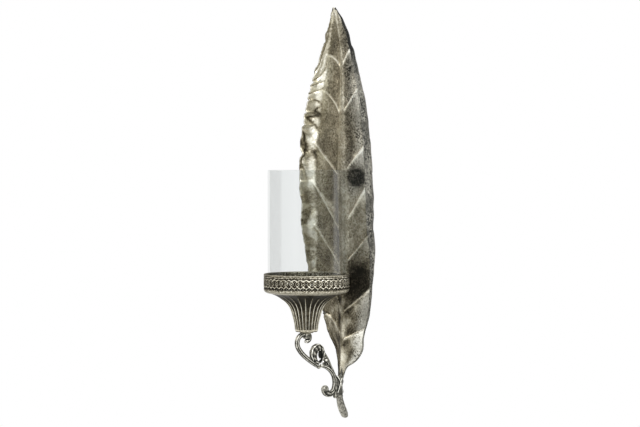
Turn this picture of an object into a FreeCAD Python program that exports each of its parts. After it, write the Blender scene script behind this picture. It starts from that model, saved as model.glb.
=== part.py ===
"""Leaf wall sconce: a pressed metal leaf on a stem, a scroll arm and a galleried cup with a glass cylinder.

Millimetres, +Z up, the wall behind the sconce at +Y, its front at -Y, its middle plane at X = 0.
The origin is the centre of the keyhole's round hole, in the rear face of the hanger plate.
"""
import FreeCAD, Part

import math
import os

V = FreeCAD.Vector

# --- hanger on the wall side -------------------------------------------------------------------
PLATE = 1.5                   # sheet thickness of the hanger
HANGER_HALF = 15.0            # half width over the two legs
HANGER_FOOT = 9.0             # how far each welded foot reaches out
HANGER_LOW = -14.0
HANGER_HIGH = 20.0
KEYHOLE_R = 4.5
KEYHOLE_SLOT_R = 2.3
KEYHOLE_SLOT_TOP = 10.0

# --- leaf blade --------------------------------------------------------------------------------
SHEET = 1.0                   # thickness of the pressed leaf
LEAF_TOP = 118.0
LEAF_FOOT = -344.0
RIB_HEIGHT = 2.0
RIB_SPREAD = 4.0
ROLL_RADIUS = 0.6             # radius of the rolled edge, as a share of its depth
ROLL_TURN = math.radians(85)  # how far the edge turns forward
FLOOR_SHARE = 0.64            # the flat floor ends and the roll begins at this share of a row
ROLL_SHARE = 0.88
# height, then the front of the midrib, half width on each side, depth of the rolled edge, and
# how far the half bends forward as a dish
LEAF_STATIONS = (
    (118, -24.2, 1.6, 1.6, 0.4, 0.0),
    (103, -19.7, 10.5, 9.5, 2.0, 0.5),
    (72, -13.2, 25.0, 21.0, 6.5, 0.6),
    (46, -11.2, 34.0, 30.5, 11.0, 0.8),
    (12, -10.8, 45.0, 43.5, 15.0, 0.8),
    (-36, -11.0, 54.5, 55.0, 18.0, 1.0),
    (-90, -10.4, 59.5, 60.5, 18.5, 1.0),
    (-150, -8.4, 59.5, 60.5, 18.5, 1.0),
    (-190, -7.8, 57.5, 60.0, 13.0, 1.0),
    (-225, -8.8, 54.0, 55.5, 7.5, 0.5),
    (-265, -9.6, 41.0, 46.5, 2.5, -2.0),
    (-300, -11.2, 27.0, 33.0, 1.0, -5.5),
    (-314, -11.9, 17.6, 31.0, 0.9, -6.4),
    (-325, -12.4, 12.5, 25.0, 0.8, -5.5),
    (-331, -12.7, 9.2, 19.0, 0.6, -4.0),
    (-337, -12.9, 6.6, 9.5, 0.4, -2.0),
    (-344, -13.0, 4.0, 5.0, 0.4, -1.0),
)
LEAF_ROWS = 56
ROW_BUNCHING = 1.3            # draws the rows together towards the narrow foot

# --- stem --------------------------------------------------------------------------------------
# height, centre line's place along Y, radius
STEM_STATIONS = (
    (-404.5, -3.4, 2.0),
    (-402.5, -4.1, 4.0),
    (-399.0, -5.4, 5.0),
    (-392.0, -8.6, 5.4),
    (-384.5, -11.6, 4.8),
    (-377.0, -13.2, 4.2),
    (-366.0, -13.6, 4.1),
    (-354.0, -12.2, 3.4),
    (-346.5, -9.2, 2.3),
    (-338.0, -9.3, 1.9),
)
TANG_R = 2.0
TANG_TOP = -210.0
TANG_RINGS = 16
BRAZE_GAP = 0.3

# --- cup ---------------------------------------------------------------------------------------
CUP_Y = -70.6                 # axis of the cup, in front of the wall plane
GLASS_R = 50.0
GLASS_WALL = 2.6
GLASS_HEIGHT = 150.0
GLASS_PLAY = 1.5              # the loose glass stands against this side of the gallery
GLASS_PLAY_ANGLE = math.radians(47)
SEAT_Z = -237.5               # top of the pan, where the glass stands
PAN_SHEET = 1.5
PAN_R = 52.0
PLATEAU_R = 44.0              # the candle stands on this raised middle, inside the glass
PLATEAU_RISE = 1.0
PAN_DIMPLE_R = 12.0
PAN_DIMPLE_DEPTH = 6.0
GALLERY_R = 53.5
GALLERY_WALL = 1.1
GALLERY_FOOT_Z = -236.0
GALLERY_TOP_Z = -219.2
BEAD_R = 1.1
UNITS = 46                    # ornament units around the gallery
OVAL_R = 1.9
PINHOLE_R = 0.8
RING_INNER_R = 42.0
RING_LOW_Z = -241.5
RING_FOOT_R = 46.0

# --- bell under the cup ------------------------------------------------------------------------
FLUTES = 24
BELL_WALL = 1.8
BELL_FLOOR = 3.0
# height, radius over the ridges, depth of the flutes
BELL_STATIONS = (
    (-241.5, 45.8, 0.5),
    (-244.3, 38.9, 1.2),
    (-247.9, 33.1, 1.7),
    (-253.1, 26.3, 1.8),
    (-260.0, 21.2, 1.6),
    (-267.5, 18.5, 1.4),
    (-275.0, 16.5, 1.3),
    (-281.8, 15.1, 1.2),
    (-287.5, 14.4, 1.0),
    (-289.4, 13.4, 0.8),
)

# --- fasteners of the cup ----------------------------------------------------------------------
COLLAR_R = 8.5
COLLAR_HEIGHT = 2.0
STUD_R = 2.0
STUD_PLAY = 0.3               # radial room round the stud in the pieces that it clamps
STUD_LOW_Z = -298.0
STUD_TOP_Z = -236.8
NUT_ACROSS_FLATS = 7.0
NUT_HEIGHT = 3.2
WASHER_R = 5.5
WASHER_HEIGHT = 1.0

# --- scroll arm, drawn in the plane X = 0 as (y, z) ----------------------------------------------
BAND = 5.4                    # width of the scroll's band in its plane
ARM_HALF = 2.75               # half thickness across the plane
JUNCTION = (-51.2, -334.3)
C_HEADING = 153.0
C_ARCS = ((180.0, -8.0), (50.0, -18.0), (12.0, -37.0), (10.0, -80.0), (45.0, -10.5), (4.4, -220.0))
S_HEADING = -2.0
S_ARCS = ((40.0, -20.0), (24.0, -62.0), (60.0, -6.0), (11.6, -90.0), (12.0, -70.0))
RING_CENTRE = (-52.6, -318.9)
RING_R = 11.9
EYE_CENTRE = (-50.2, -321.4)  # the ring's opening lies off its middle, so its band tapers
EYE_R = 6.4
KNUCKLE = (-35.6, -328.2)
KNUCKLE_R = 4.4
KNUCKLE_TIES = ((-45.2, -322.0), (-27.7, -341.0))
TIE_BAND = 3.6
BUD = (-39.2, -365.4)
BUD_R = 6.1
BOSS_R = 4.2
BOSS_LOW_Z = -299.0
FOOT_FRONT = -23.7
FOOT_BACK = -16.6
FOOT_HALF = 4.0
FOOT_LOW_Z = -378.0
FOOT_HIGH_Z = -350.0

# --- screws that hold the arm to the stem --------------------------------------------------------
SCREW_Z = (-357.0, -370.0)
SCREW_R = 1.6
SCREW_HOLE_R = 1.8
SCREW_HEAD_R = 3.1
SCREW_HEAD = 2.2
SCREW_TIP = -22.7
SPOTFACE_Y = -10.4            # flat ground on the back of the stem under the screw heads


def curve_through(points, column, height):
    """The smooth curve through one column of the stations, read at a height."""
    rows = sorted(points)
    index = 0
    while index < len(rows) - 2 and rows[index + 1][0] < height:
        index += 1
    low, high = rows[index], rows[index + 1]
    before = rows[max(index - 1, 0)]
    after = rows[min(index + 2, len(rows) - 1)]
    span = high[0] - low[0]
    slope_low = (high[column] - before[column]) / (high[0] - before[0]) * span
    slope_high = (after[column] - low[column]) / (after[0] - low[0]) * span
    t = (height - low[0]) / span
    return (
        (2 * t**3 - 3 * t**2 + 1) * low[column]
        + (t**3 - 2 * t**2 + t) * slope_low
        + (3 * t**2 - 2 * t**3) * high[column]
        + (t**3 - t**2) * slope_high
    )


def revolve_profile(points, y):
    """A turned piece about the vertical line at y, from its (radius, height) outline."""
    wire = Part.makePolygon([V(r, y, z) for r, z in points] + [V(points[0][0], y, points[0][1])])
    return Part.Face(wire).revolve(V(0, y, 0), V(0, 0, 1), 360)


def bar(radius, start, direction, length):
    return Part.makeCylinder(radius, length, V(*start), V(*direction))


# --- leaf --------------------------------------------------------------------------------------
def section_point(side, share, height):
    """A point of the leaf's front face: share runs from 0 at the midrib to 1 at the rolled edge."""
    rib = curve_through(LEAF_STATIONS, 1, height)
    half = curve_through(LEAF_STATIONS, 2 if side < 0 else 3, height)
    roll = curve_through(LEAF_STATIONS, 4, height)
    dish = curve_through(LEAF_STATIONS, 5, height)
    radius = ROLL_RADIUS * roll
    strip = (roll - radius * (1 - math.cos(ROLL_TURN))) / math.sin(ROLL_TURN)
    floor = half - radius * math.sin(ROLL_TURN) - strip * math.cos(ROLL_TURN)
    if share <= FLOOR_SHARE:
        x = floor * share / FLOOR_SHARE
        forward = 0.0
    elif share <= ROLL_SHARE:
        turn = ROLL_TURN * (share - FLOOR_SHARE) / (ROLL_SHARE - FLOOR_SHARE)
        x = floor + radius * math.sin(turn)
        forward = radius * (1 - math.cos(turn))
    else:
        run = strip * (share - ROLL_SHARE) / (1 - ROLL_SHARE)
        x = floor + radius * math.sin(ROLL_TURN) + run * math.cos(ROLL_TURN)
        forward = radius * (1 - math.cos(ROLL_TURN)) + run * math.sin(ROLL_TURN)
    forward += dish * (x / half) ** 2
    valley = RIB_HEIGHT * (1 - math.exp(-((x / RIB_SPREAD) ** 2)))
    return V(side * x, rib + valley - forward, height)


def leaf_grid():
    shares = (0, 0.03, 0.07, 0.12, 0.2, 0.32, 0.48, 0.64, 0.7, 0.76, 0.82, 0.88, 0.94, 1)
    columns = [(-1, s) for s in reversed(shares)] + [(1, s) for s in shares[1:]]
    steps = [(i / (LEAF_ROWS - 1)) ** ROW_BUNCHING for i in range(LEAF_ROWS)]
    heights = [LEAF_FOOT + (LEAF_TOP - LEAF_FOOT) * step for step in steps]
    return [[section_point(side, share, z) for side, share in columns] for z in heights]


def behind(grid):
    """The same grid moved back by the sheet's thickness along the face's normal."""
    moved = []
    for i, row in enumerate(grid):
        below, above = grid[max(i - 1, 0)], grid[min(i + 1, len(grid) - 1)]
        new_row = []
        for j, point in enumerate(row):
            along = above[j] - below[j]
            across = row[min(j + 1, len(row) - 1)] - row[max(j - 1, 0)]
            normal = along.cross(across)
            normal.normalize()
            new_row.append(point + normal * SHEET)
        moved.append(new_row)
    return moved


def surface(grid):
    patch = Part.BSplineSurface()
    patch.interpolate(grid)
    return patch


def leaf_blade():
    front_grid = leaf_grid()
    front = surface(front_grid)
    back = surface(behind(front_grid))
    faces = [front.toShape(), back.toShape()]
    u0, u1, v0, v1 = front.bounds()
    b0, b1, c0, c1 = back.bounds()
    for front_edge, back_edge in (
        (front.uIso(u0), back.uIso(b0)),
        (front.uIso(u1), back.uIso(b1)),
        (front.vIso(v0), back.vIso(c0)),
        (front.vIso(v1), back.vIso(c1)),
    ):
        faces.append(Part.makeRuledSurface(front_edge.toShape(), back_edge.toShape()))
    shell = Part.Shell(faces)
    shell.sewShape()
    solid = Part.Solid(shell)
    if solid.Volume < 0:
        solid.reverse()
    return solid


# --- stem and hanger ---------------------------------------------------------------------------
def stem_rod():
    rings = [Part.Wire(Part.makeCircle(r, V(0, y, z))) for z, y, r in STEM_STATIONS]
    top_z = STEM_STATIONS[-1][0]
    for i in range(1, TANG_RINGS + 1):
        z = top_z + (TANG_TOP - top_z) * i / TANG_RINGS
        y = curve_through(LEAF_STATIONS, 1, z) + SHEET + TANG_R + BRAZE_GAP
        rings.append(Part.Wire(Part.makeCircle(TANG_R, V(0, y, z))))
    return Part.makeLoft(rings, True, False)


def leaf_stem():
    stem = stem_rod()
    low, high = FOOT_LOW_Z - 1, FOOT_HIGH_Z + 1
    saddle = Part.makeBox(20, 20, high - low, V(-10, FOOT_BACK - 20, low))
    stem = stem.cut(saddle)
    for z in SCREW_Z:
        stem = stem.cut(bar(SCREW_HOLE_R, (0, -40, z), (0, 1, 0), 40))
        stem = stem.cut(bar(SCREW_HEAD_R + 0.4, (0, SPOTFACE_Y, z), (0, 1, 0), 20))
    return stem


def hanger_plate():
    depth = -(curve_through(LEAF_STATIONS, 1, 0) + RIB_HEIGHT + SHEET) - 0.15
    height = HANGER_HIGH - HANGER_LOW
    web = Part.makeBox(2 * HANGER_HALF, PLATE, height, V(-HANGER_HALF, -PLATE, HANGER_LOW))
    pieces = []
    for side in (-1, 1):
        leg_x = HANGER_HALF - PLATE if side > 0 else -HANGER_HALF
        pieces.append(Part.makeBox(PLATE, depth, height, V(leg_x, -depth, HANGER_LOW)))
        foot_x = HANGER_HALF - PLATE if side > 0 else -HANGER_HALF - HANGER_FOOT
        foot = Part.makeBox(HANGER_FOOT + PLATE, PLATE, height, V(foot_x, -depth, HANGER_LOW))
        pieces.append(foot)
    plate = web.multiFuse(pieces).removeSplitter()
    keyhole = bar(KEYHOLE_R, (0, -PLATE - 1, 0), (0, 1, 0), PLATE + 2)
    slot_end = bar(KEYHOLE_SLOT_R, (0, -PLATE - 1, KEYHOLE_SLOT_TOP), (0, 1, 0), PLATE + 2)
    slot = Part.makeBox(2 * KEYHOLE_SLOT_R, PLATE + 2, KEYHOLE_SLOT_TOP, V(-KEYHOLE_SLOT_R, -PLATE - 1, 0))
    return plate.cut(keyhole.multiFuse([slot, slot_end]))


# --- scroll arm ----------------------------------------------------------------------------------
def band_piece(centre, radius, start_angle, turn, width):
    """A stretch of flat band bent round a centre, as a solid across the arm's plane."""
    y, z = centre
    inner, outer = radius - width / 2, radius + width / 2
    low, high = sorted((start_angle, start_angle + turn))

    def at(r, angle):
        return V(-ARM_HALF, y + r * math.cos(math.radians(angle)), z + r * math.sin(math.radians(angle)))

    middle = (low + high) / 2
    edges = [
        Part.Arc(at(outer, low), at(outer, middle), at(outer, high)).toShape(),
        Part.makeLine(at(outer, high), at(inner, high)),
        Part.Arc(at(inner, high), at(inner, middle), at(inner, low)).toShape(),
        Part.makeLine(at(inner, low), at(outer, low)),
    ]
    return Part.Face(Part.Wire(edges)).extrude(V(2 * ARM_HALF, 0, 0))


def scroll(start, heading, arcs):
    """Bands that follow one another round arcs of (radius, turn); a negative turn is clockwise."""
    y, z = start
    pieces = []
    width = BAND
    for radius, turn in arcs:
        side = 1 if turn > 0 else -1
        toward = math.radians(heading + side * 90)
        centre = (y + radius * math.cos(toward), z + radius * math.sin(toward))
        start_angle = heading - side * 90
        pieces.append(band_piece(centre, radius, start_angle, turn, width))
        end = math.radians(start_angle + turn)
        y, z = centre[0] + radius * math.cos(end), centre[1] + radius * math.sin(end)
        heading += turn
    return pieces


def tie(start, end, width):
    """A straight band between two points of the arm's plane."""
    run = V(0, end[0] - start[0], end[1] - start[1])
    across = V(0, -run.z, run.y).normalize() * (width / 2)
    base = V(-ARM_HALF, *start)
    corners = [base + across, base - across, base + run - across, base + run + across, base + across]
    return Part.Face(Part.makePolygon(corners)).extrude(V(2 * ARM_HALF, 0, 0))


def disc(centre, radius, half):
    return bar(radius, (-half, centre[0], centre[1]), (1, 0, 0), 2 * half)


def scroll_arm():
    ring = disc(RING_CENTRE, RING_R, ARM_HALF).cut(disc(EYE_CENTRE, EYE_R, ARM_HALF + 1))
    spur = disc((JUNCTION[0] + 2.5, JUNCTION[1] - 2.0), 2.8, ARM_HALF)
    foot = Part.makeBox(
        2 * FOOT_HALF, FOOT_BACK - FOOT_FRONT, FOOT_HIGH_Z - FOOT_LOW_Z, V(-FOOT_HALF, FOOT_FRONT, FOOT_LOW_Z)
    )
    front_edges = [e for e in foot.Edges if e.BoundBox.YMax < FOOT_FRONT + 1e-6]
    foot = foot.makeFillet(2.5, front_edges)
    boss = bar(BOSS_R, (0, CUP_Y, BOSS_LOW_Z), (0, 0, 1), BELL_STATIONS[-1][0] - COLLAR_HEIGHT - BOSS_LOW_Z)
    pieces = scroll(JUNCTION, C_HEADING, C_ARCS) + scroll(JUNCTION, S_HEADING, S_ARCS)
    pieces += [tie(KNUCKLE, end, TIE_BAND) for end in KNUCKLE_TIES]
    pieces += [ring, spur, foot, disc(KNUCKLE, KNUCKLE_R, ARM_HALF + 0.6), disc(BUD, BUD_R, ARM_HALF + 1.2)]
    arm = boss.multiFuse(pieces)
    slab = Part.makeBox(40, 60, 20, V(-20, CUP_Y - 30, BELL_STATIONS[-1][0] - COLLAR_HEIGHT))
    arm = arm.cut(slab)
    arm = arm.cut(bar(STUD_R, (0, CUP_Y, STUD_LOW_Z), (0, 0, 1), 30))
    for z in SCREW_Z:
        arm = arm.cut(bar(SCREW_R, (0, SCREW_TIP, z), (0, 1, 0), 30))
    return arm


def arm_screws():
    screws = []
    for z in SCREW_Z:
        shank = bar(SCREW_R, (0, SCREW_TIP, z), (0, 1, 0), SPOTFACE_Y - SCREW_TIP)
        head = bar(SCREW_HEAD_R, (0, SPOTFACE_Y, z), (0, 1, 0), SCREW_HEAD)
        head = head.makeFillet(0.8, [e for e in head.Edges if e.BoundBox.YMin > SPOTFACE_Y + 1])
        cross = Part.makeBox(4.2, 1.2, 0.8, V(-2.1, SPOTFACE_Y + SCREW_HEAD - 1.2, z - 0.4))
        upright = Part.makeBox(0.8, 1.2, 4.2, V(-0.4, SPOTFACE_Y + SCREW_HEAD - 1.2, z - 2.1))
        screws.append(shank.fuse(head).cut(cross).cut(upright))
    return Part.makeCompound(screws)


# --- cup -----------------------------------------------------------------------------------------
def fluted_wire(z, radius, depth):
    """A closed outline with narrow ridges and wide hollow flutes between them."""
    points = []
    samples = FLUTES * 8
    for i in range(samples):
        angle = 2 * math.pi * i / samples
        hollow = abs(math.sin(FLUTES * angle / 2)) ** 0.8
        r = radius - depth * hollow
        points.append(V(r * math.cos(angle), CUP_Y + r * math.sin(angle), z))
    curve = Part.BSplineCurve()
    curve.interpolate(Points=points, PeriodicFlag=True)
    return Part.Wire(curve.toShape())


def cup_bell():
    outer = Part.makeLoft([fluted_wire(z, r, d) for z, r, d in BELL_STATIONS], True, False)
    floor_z = BELL_STATIONS[-1][0] + BELL_FLOOR
    inner = [(0, BELL_STATIONS[0][0] + 1), (RING_INNER_R, BELL_STATIONS[0][0] + 1)]
    inner.append((RING_INNER_R, BELL_STATIONS[0][0]))
    for z, r, depth in BELL_STATIONS[1:-1]:
        if z > floor_z:
            inner.append((r - depth - BELL_WALL, z))
    inner.append((inner[-1][0] - 0.5, floor_z))
    inner.append((0, floor_z))
    bell = outer.cut(revolve_profile(inner, CUP_Y))
    return bell.cut(bar(STUD_R + STUD_PLAY, (0, CUP_Y, BELL_STATIONS[-1][0] - 1), (0, 0, 1), 10))


def cup_collar():
    low = BELL_STATIONS[-1][0] - COLLAR_HEIGHT
    collar = bar(COLLAR_R, (0, CUP_Y, low), (0, 0, 1), COLLAR_HEIGHT)
    collar = collar.makeFillet(0.6, [e for e in collar.Edges if e.Length > 2 * COLLAR_R * 3])
    return collar.cut(bar(STUD_R + STUD_PLAY, (0, CUP_Y, low - 1), (0, 0, 1), 10))


def cup_stud():
    stud = bar(STUD_R, (0, CUP_Y, STUD_LOW_Z), (0, 0, 1), STUD_TOP_Z - STUD_LOW_Z)
    return stud.makeChamfer(0.5, [e for e in stud.Edges if e.BoundBox.ZMin > STUD_TOP_Z - 0.1])


def gallery_base_ring():
    """The rounded step between the bell and the gallery: a ledge that carries the pan."""
    arc = []
    for i in range(7):
        turn = math.radians(90 * i / 6)
        r = RING_FOOT_R + (GALLERY_R - RING_FOOT_R) * math.sin(turn)
        z = GALLERY_FOOT_Z - (GALLERY_FOOT_Z - RING_LOW_Z) * math.cos(turn)
        arc.append((r, z))
    ledge_z = SEAT_Z - PAN_SHEET
    inner = [(PAN_R + 0.2, GALLERY_FOOT_Z), (PAN_R + 0.2, ledge_z), (RING_INNER_R, ledge_z)]
    return revolve_profile([(RING_INNER_R, RING_LOW_Z)] + arc + inner, CUP_Y)


def gallery_band():
    height = GALLERY_TOP_Z - GALLERY_FOOT_Z
    outer = bar(GALLERY_R, (0, CUP_Y, GALLERY_FOOT_Z), (0, 0, 1), height)
    band = outer.cut(bar(GALLERY_R - GALLERY_WALL, (0, CUP_Y, GALLERY_FOOT_Z - 1), (0, 0, 1), height + 2))
    middle = GALLERY_FOOT_Z + height / 2
    holes = []
    for i in range(UNITS):
        angle = 2 * math.pi * i / UNITS
        radial = (math.cos(angle), math.sin(angle), 0)
        base = (45 * radial[0], CUP_Y + 45 * radial[1])
        holes.append(bar(OVAL_R, (base[0], base[1], middle), radial, 15))
        for offset in (-height / 3, height / 3):
            half_step = angle + math.pi / UNITS
            ray = (math.cos(half_step), math.sin(half_step), 0)
            foot = (45 * ray[0], CUP_Y + 45 * ray[1], middle + offset)
            holes.append(bar(PINHOLE_R, foot, ray, 15))
    return band.cut(Part.makeCompound(holes))


def gallery_top_bead():
    z = GALLERY_TOP_Z + BEAD_R
    return Part.makeTorus(GALLERY_R - GALLERY_WALL / 2, BEAD_R, V(0, CUP_Y, z), V(0, 0, 1))


def candle_pan():
    low = SEAT_Z - PAN_SHEET
    plateau = SEAT_Z + PLATEAU_RISE
    dimple = SEAT_Z - PAN_DIMPLE_DEPTH
    hole = STUD_R + STUD_PLAY
    outline = [
        (hole, dimple), (PAN_DIMPLE_R - 2, dimple), (PAN_DIMPLE_R, plateau), (PLATEAU_R, plateau),
        (PLATEAU_R + PLATEAU_RISE, SEAT_Z), (PAN_R, SEAT_Z), (PAN_R, low), (PAN_DIMPLE_R + 0.6, low),
        (PAN_DIMPLE_R - 1.2, dimple - PAN_SHEET), (hole, dimple - PAN_SHEET),
    ]
    return revolve_profile(outline, CUP_Y)


def stud_washer():
    low = SEAT_Z - PAN_DIMPLE_DEPTH
    outline = [(STUD_R + STUD_PLAY, low), (WASHER_R, low), (WASHER_R, low + WASHER_HEIGHT)]
    outline.append((STUD_R + STUD_PLAY, low + WASHER_HEIGHT))
    return revolve_profile(outline, CUP_Y)


def stud_nut():
    low = SEAT_Z - PAN_DIMPLE_DEPTH + WASHER_HEIGHT
    corner = NUT_ACROSS_FLATS / math.sqrt(3)
    corners = []
    for i in range(7):
        angle = math.radians(60 * i)
        corners.append(V(corner * math.cos(angle), CUP_Y + corner * math.sin(angle), low))
    nut = Part.Face(Part.makePolygon(corners)).extrude(V(0, 0, NUT_HEIGHT))
    return nut.cut(bar(STUD_R, (0, CUP_Y, low - 1), (0, 0, 1), NUT_HEIGHT + 2))


def glass_cylinder():
    x = GLASS_PLAY * math.cos(GLASS_PLAY_ANGLE)
    y = CUP_Y + GLASS_PLAY * math.sin(GLASS_PLAY_ANGLE)
    outer = bar(GLASS_R, (x, y, SEAT_Z), (0, 0, 1), GLASS_HEIGHT)
    glass = outer.cut(bar(GLASS_R - GLASS_WALL, (x, y, SEAT_Z - 1), (0, 0, 1), GLASS_HEIGHT + 2))
    return glass.makeFillet(0.9, glass.Edges)


PIECES = (
    leaf_blade, leaf_stem, hanger_plate, scroll_arm, arm_screws, cup_collar, cup_bell,
    gallery_base_ring, gallery_band, gallery_top_bead, candle_pan, cup_stud, stud_washer, stud_nut,
    glass_cylinder,
)

os.makedirs("parts", exist_ok=True)
for piece in PIECES:
    shape = piece()
    shape.exportStep(f"parts/{piece.__name__}.step")
    box = shape.BoundBox
    print(
        f"{piece.__name__}: solids {len(shape.Solids)} valid {shape.isValid()} volume {shape.Volume:.1f}"
        f" x {box.XMin:.1f} {box.XMax:.1f} y {box.YMin:.1f} {box.YMax:.1f} z {box.ZMin:.1f} {box.ZMax:.1f}"
    )
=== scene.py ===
"""Leaf wall sconce: looks of the pressed leaf, the cast scroll arm, the galleried cup and its glass.

Outlines are in millimetres in the row frame: the wall plane at Y = 0, the front at -Y, +Z up.
Meshes are made in metres. Every relief is real geometry; materials add patina, fine grain, and painted
highlights, shade and reflections.
"""
import math

import bpy
import numpy as np
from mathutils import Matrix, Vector, noise


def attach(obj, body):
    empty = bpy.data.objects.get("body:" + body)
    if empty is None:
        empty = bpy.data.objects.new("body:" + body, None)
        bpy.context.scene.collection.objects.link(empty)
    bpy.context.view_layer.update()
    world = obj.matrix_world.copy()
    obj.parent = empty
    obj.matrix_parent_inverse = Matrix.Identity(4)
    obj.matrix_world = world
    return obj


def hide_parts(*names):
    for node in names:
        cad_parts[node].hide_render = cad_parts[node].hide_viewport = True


MM = 0.001
TURN = 2 * math.pi

# --- leaf --------------------------------------------------------------------------------------
SHEET = 1.0
ROLL_RADIUS = 0.6             # radius of the rolled edge, as a share of its depth
ROLL_TURN = math.radians(85)
FLOOR_SHARE = 0.64            # the flat floor ends and the roll begins at this share of a row
ROLL_SHARE = 0.88
LEAF_ROWS = 480
LEAF_COLUMNS = 50             # on each side of the midrib
# height, front of the midrib, half width left and right, depth of the rolled edge, dish
LEAF_STATIONS = (
    (118, -24.2, 1.6, 1.6, 0.4, 0.0),
    (103, -19.7, 10.5, 9.5, 2.0, 0.5),
    (72, -13.2, 25.0, 21.0, 6.5, 0.6),
    (46, -11.2, 34.0, 30.5, 11.0, 0.8),
    (12, -10.8, 45.0, 43.5, 15.0, 0.8),
    (-36, -11.0, 54.5, 55.0, 18.0, 1.0),
    (-90, -10.4, 59.5, 60.5, 18.5, 1.0),
    (-150, -8.4, 59.5, 60.5, 18.5, 1.0),
    (-190, -7.8, 57.5, 60.0, 13.0, 1.0),
    (-225, -8.8, 54.0, 55.5, 7.5, 0.5),
    (-265, -9.6, 41.0, 46.5, 2.5, -2.0),
    (-300, -11.2, 27.0, 33.0, 1.0, -5.5),
    (-314, -11.9, 17.6, 31.0, 0.9, -6.4),
    (-325, -12.4, 12.5, 25.0, 0.8, -5.5),
    (-331, -12.7, 9.2, 19.0, 0.6, -4.0),
    (-337, -12.9, 6.6, 9.5, 0.4, -2.0),
    (-344, -13.0, 4.4, 5.4, 0.4, -1.0),
    (-356, -13.6, 2.4, 2.6, 0.2, 0.0),
)
# height, half width of the raised midrib
MIDRIB = (
    (118, 0.5), (75, 1.0), (46, 2.0), (0, 3.0), (-36, 4.5), (-75, 6.0), (-110, 8.0), (-170, 7.5),
    (-215, 6.5), (-240, 5.0), (-265, 2.5), (-300, 2.2), (-356, 2.5),
)
RIB_HEIGHT = 2.0
# side, height where the vein leaves the midrib, its rise and its bend
VEINS = (
    (-1, 40.0, 1.464, -0.0256), (-1, -21.0, 1.738, -0.0208), (-1, -101.0, 0.96, 0.0),
    (-1, -172.8, 1.284, 0.0), (-1, -217.0, 1.1, 0.0), (-1, -278.5, 3.11, -0.045),
    (-1, -301.5, 1.55, -0.0209),
    (1, 42.8, 1.95, -0.0307), (1, -17.0, 1.152, 0.0), (1, -95.0, 1.0, -0.0019),
    (1, -160.0, 1.2, 0.0), (1, -210.0, 0.86, 0.0), (1, -269.0, 0.67, 0.0), (1, -305.0, 0.44, 0.0),
)
VEIN_HEIGHT = 1.1
VEIN_WIDTH = 1.1
VEIN_ARCH = 0.425             # a bent vein arches over this share of rise / bend, then runs out
VEIN_TAIL = 0.1               # rise of that last stretch, as a share of the vein's own
PLEAT = 1.7                   # depth of the hollow between two veins
LEAF_END_VEINS = (-372.0, 96.0)   # heights that stand in for a vein beyond the first and the last
# height, depth and half height of the notches in the left rim
NOTCHES = (
    (77.0, 2.6, 3.0), (26.0, 3.4, 2.2), (3.0, 4.0, 1.5), (-13.0, 3.6, 1.8), (-29.0, 3.8, 2.2),
    (-66.0, 3.4, 3.4), (-87.0, 1.8, 5.0), (-131.0, 4.4, 12.0), (-270.5, 8.0, 3.0),
)
HANGER_CALM = (3.0, 26.0, 30.0)   # height, reach along and across where the sheet stays flat
# painted dark reflections on the right half, of the glass's top edge above and of the cup's rim below:
# distance from the midrib, height, reach across and along, strength
UPPER_GLASS_REFLECTION = (25, -97, 11, 8.5, 2.6)
LOWER_RIM_REFLECTION = (28, -234, 17, 24, 1.9)
# rubbed streak on the left half: height at the midrib, rise and half width
STREAK = (-154.0, 0.89, 3.0)

# --- cup ---------------------------------------------------------------------------------------
CUP_Y = -70.6
GALLERY_R = 53.5
GALLERY_WALL = 1.1
GALLERY_LOW_Z = -238.8
GALLERY_HIGH_Z = -218.4
OVAL_Z = -227.4               # height of the row of ovals
FOOT_TURN_Z = -236.0          # below this the gallery rounds in towards the bell
RING_LOW_Z = -241.5
RING_FOOT_R = 46.0
RING_INNER_R = 42.0
RING_REST_R = 51.0            # inner edge of the step, which reaches a little into the pan's rim
RING_REST_Z = -238.2
LEDGE_Z = -239.0              # the pan lies on this ledge
LIP_RING_R = 52.9
LIP_R = 0.7                   # radius of the wire on the gallery's upper edge
LIP_Z = -217.9
UNITS = 46
UNIT_COLUMNS = 20
BAND_ROWS = 60
FLUTES = 24
BELL_WALL = 1.6
STUD_HOLE_R = 2.3
# height, radius over the ridges, depth of the flutes
BELL_STATIONS = (
    (-241.5, 45.8, 0.5), (-244.3, 38.9, 1.3), (-247.9, 33.1, 2.0), (-253.1, 26.3, 2.2),
    (-260.0, 21.2, 2.0), (-267.5, 18.5, 1.8), (-275.0, 16.5, 1.6), (-281.8, 15.1, 1.5),
    (-287.5, 14.4, 1.3), (-289.4, 13.4, 0.9),
)
# height, distance of the centre line from the wall plane, radius
STEM_STATIONS = (
    (-404.5, -3.4, 0.6), (-403.8, -3.7, 2.6), (-402.5, -4.1, 4.0), (-399.0, -5.4, 5.0),
    (-392.0, -8.6, 5.4), (-384.5, -11.6, 4.8), (-377.0, -13.2, 4.2), (-366.0, -13.6, 4.1),
    (-354.0, -12.4, 3.6), (-346.5, -10.4, 2.8), (-338.0, -9.3, 2.0), (-325.0, -8.9, 2.0),
    (-300.0, -7.7, 2.0), (-265.0, -6.1, 2.0), (-225.0, -5.3, 2.0), (-210.5, -4.9, 2.0),
    (-210.0, -4.9, 0.4),
)
STEM_SIDES = 48
STEM_COLLAR_Z = -374.8
GLASS_R = 50.0
GLASS_WALL = 2.6
GLASS_HEIGHT = 150.0
GLASS_PLAY = 1.5
GLASS_PLAY_ANGLE = math.radians(47)
SEAT_Z = -237.5

# --- arm, drawn in the plane X = 0 as (y, z) ------------------------------------------------------
BAND = 5.8
ARM_HALF = 2.75
JUNCTION = (-51.2, -334.3)
C_HEADING = 153.0
C_ARCS = ((180.0, -8.0), (50.0, -18.0), (12.0, -37.0), (10.0, -80.0), (45.0, -10.5), (4.4, -220.0))
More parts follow.
